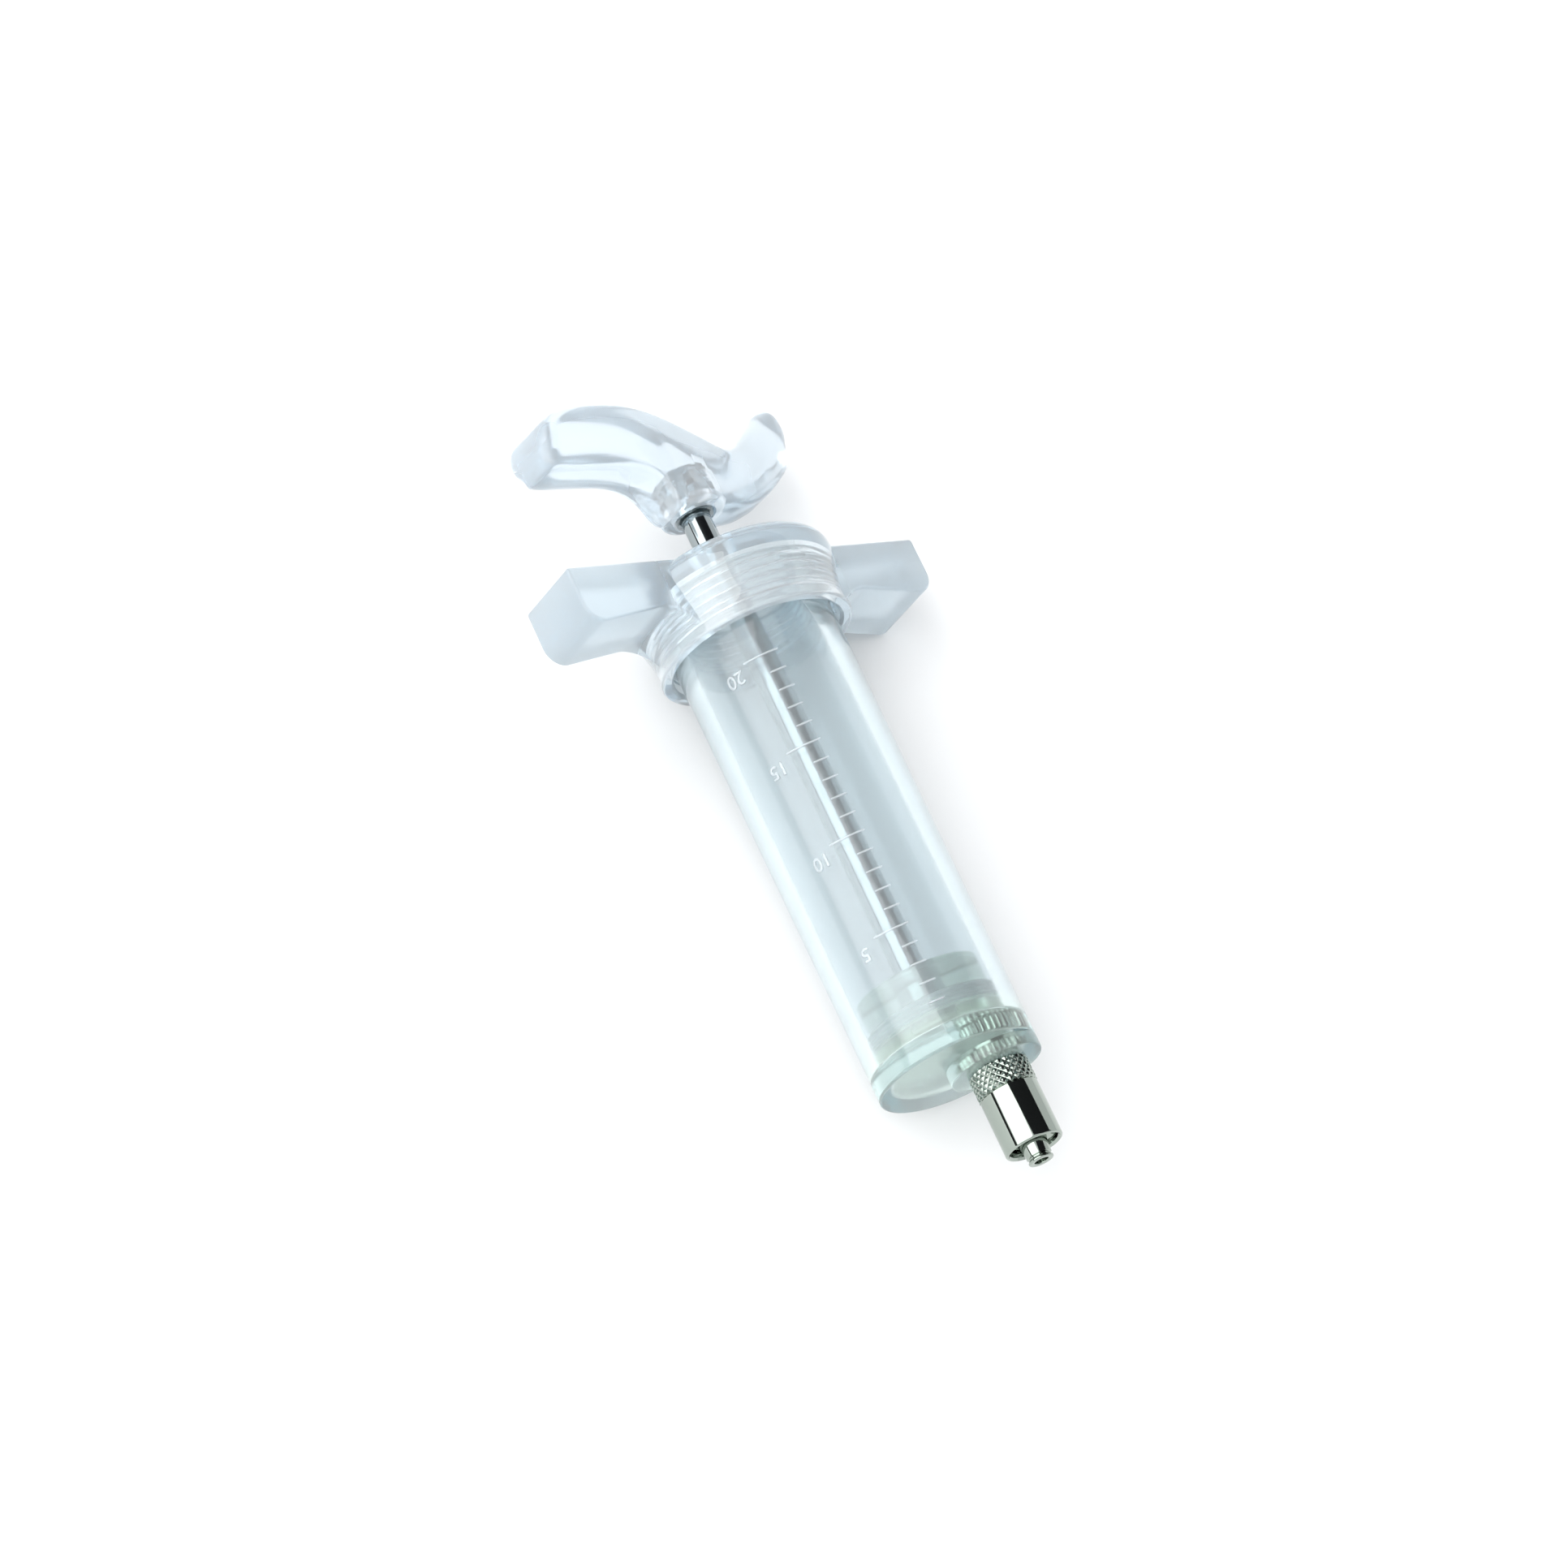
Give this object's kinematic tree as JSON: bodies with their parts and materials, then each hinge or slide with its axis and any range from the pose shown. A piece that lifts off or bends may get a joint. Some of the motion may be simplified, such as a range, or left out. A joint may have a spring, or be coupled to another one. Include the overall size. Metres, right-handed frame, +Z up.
{
  "type": "meat injector",
  "caption": "Hand injector: clear graduated barrel, screw-on cap with finger wings, sealed piston on a steel rod, saddle handle and offset metal lock nozzle.",
  "frame": {"origin": "on the ground under the barrel axis, midway between the nozzle tip and the top of the handle", "axes": "+X along the barrel axis towards the nozzle, +Z up with the injector lying on its cap and one finger wing"},
  "size_m": [0.1342, 0.0682, 0.0336],
  "materials": {
    "clear_barrel": "clear, polished",
    "clear_cap": "clear, polished",
    "clear_handle": "clear, polished",
    "clear_piston": "clear, faintly green",
    "seal": "translucent silicone",
    "bright_metal": "bright nickel plate",
    "steel": "bright turned steel"
  },
  "bodies": {
    "syringe_body": {"barrel": "clear_barrel", "nozzle_spigot": "bright_metal", "grip_cap": "clear_cap"},
    "lock_collar": {"lock_collar": "bright_metal"},
    "sliding_seal": {"piston_seal": "seal"},
    "plunger": {"piston": "clear_piston", "piston_anchor": "steel", "plunger_rod": "steel", "lock_nut": "steel", "handle_insert": "steel", "handle": "clear_handle"}
  },
  "joints": [
    {"name": "plunger_slide", "type": "slide", "parent": "syringe_body", "child": "sliding_seal", "axis": [-1, 0, 0], "range_m": [0, 0.0636]},
    {"name": "plunger_turn", "type": "hinge", "parent": "sliding_seal", "child": "plunger", "pos_m": [0, 0, 0.0168], "axis": [1, 0, 0], "continuous": true},
    {"name": "collar_turn", "type": "hinge", "parent": "syringe_body", "child": "lock_collar", "pos_m": [0.06, 0.00479, 0.01906], "axis": [1, 0, 0], "continuous": true}
  ]
}
